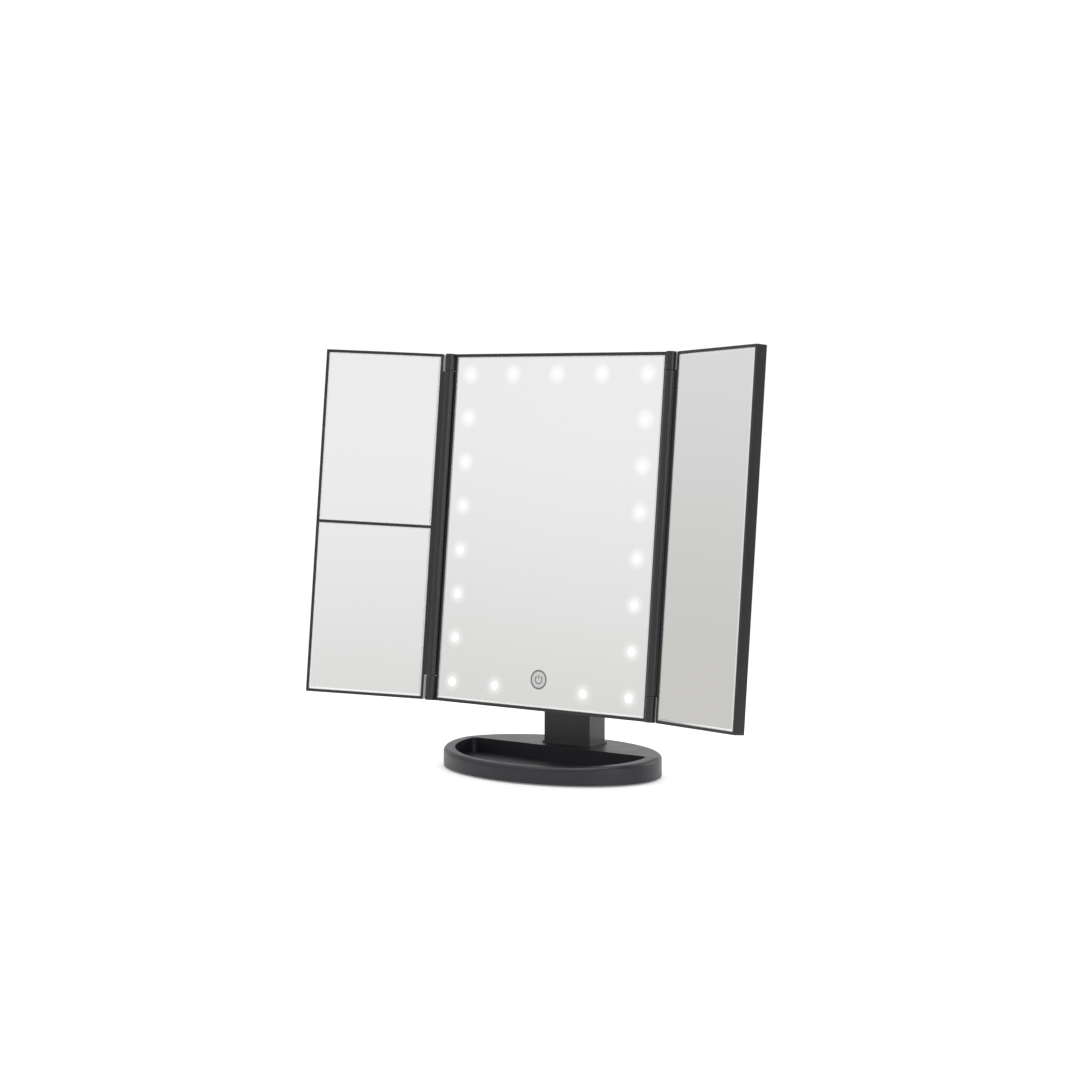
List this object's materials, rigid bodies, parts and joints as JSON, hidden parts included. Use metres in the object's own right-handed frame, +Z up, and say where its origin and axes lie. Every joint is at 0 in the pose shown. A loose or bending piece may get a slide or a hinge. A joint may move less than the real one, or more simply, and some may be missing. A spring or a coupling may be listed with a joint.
{
  "type": "lighted vanity mirror",
  "caption": "Folding vanity mirror with a lit centre panel, two hinged side wings and a friction-tilt neck on an oval tray base.",
  "frame": {"origin": "middle of the base pad's underside, on the table", "axes": "+Z up, -Y towards the user the mirrors face, +X to the right seen from the front"},
  "size_m": [0.3504, 0.112, 0.2852],
  "materials": {
    "case_plastic": "satin moulded plastic",
    "mirror_glass": "polished silvered glass",
    "steel": "bright zinc",
    "pad_rubber": "foam rubber",
    "nut_black": "black oxide",
    "washer_nylon": "plain nylon",
    "frosted_window": "frosted, lit from behind",
    "ring_print": "printed",
    "led_chip": "moulded",
    "board": "solder mask",
    "copper": "bare copper foil",
    "socket_steel": "stamped",
    "wire": "soft insulation",
    "contact_steel": "nickel plated",
    "cell_jacket": "printed jacket"
  },
  "bodies": {
    "stand": {"base_pad": "pad_rubber", "base_cover": "case_plastic", "base_screws": "steel", "base_tray": "case_plastic", "neck_shell": "case_plastic", "neck_cover": "case_plastic", "neck_screws": "steel", "neck_foot_screws": "steel", "tilt_axle": "steel", "tilt_nuts": "nut_black", "tilt_washers": "washer_nylon"},
    "head": {"tilt_bracket": "case_plastic", "bracket_screws": "steel", "centre_frame": "case_plastic", "centre_mirror": "mirror_glass", "light_windows": "frosted_window", "touch_ring": "ring_print", "led_chips": "led_chip", "led_board": "board", "touch_pad": "copper", "control_board": "board", "power_socket": "socket_steel", "wires": "wire", "back_cover": "case_plastic", "back_screws": "steel", "cell_contacts": "contact_steel", "cells": "cell_jacket", "left_hinge_pins": "steel", "right_hinge_pins": "steel"},
    "cell_door": {"cell_door": "case_plastic"},
    "left_wing": {"left_frame": "case_plastic", "left_upper_mirror": "mirror_glass", "left_lower_mirror": "mirror_glass", "left_cover": "case_plastic"},
    "right_wing": {"right_frame": "case_plastic", "right_mirror": "mirror_glass", "right_cover": "case_plastic"}
  },
  "joints": [
    {"name": "head_tilt", "type": "hinge", "parent": "stand", "child": "head", "pos_m": [0, 0.028, 0.1374], "axis": [-1, 0, 0], "range_deg": [-12, 84]},
    {"name": "left_wing_fold", "type": "hinge", "parent": "head", "child": "left_wing", "pos_m": [-0.09, -0.00511, 0.162], "axis": [0, 0.1045, 0.9945], "range_deg": [-25, 155]},
    {"name": "right_wing_fold", "type": "hinge", "parent": "head", "child": "right_wing", "pos_m": [0.09, -0.00511, 0.162], "axis": [0, -0.1045, -0.9945], "range_deg": [-23, 157]},
    {"name": "cell_door_pull", "type": "slide", "parent": "head", "child": "cell_door", "axis": [0, 0.9945, -0.1045], "range_m": [0, 0.02]}
  ]
}
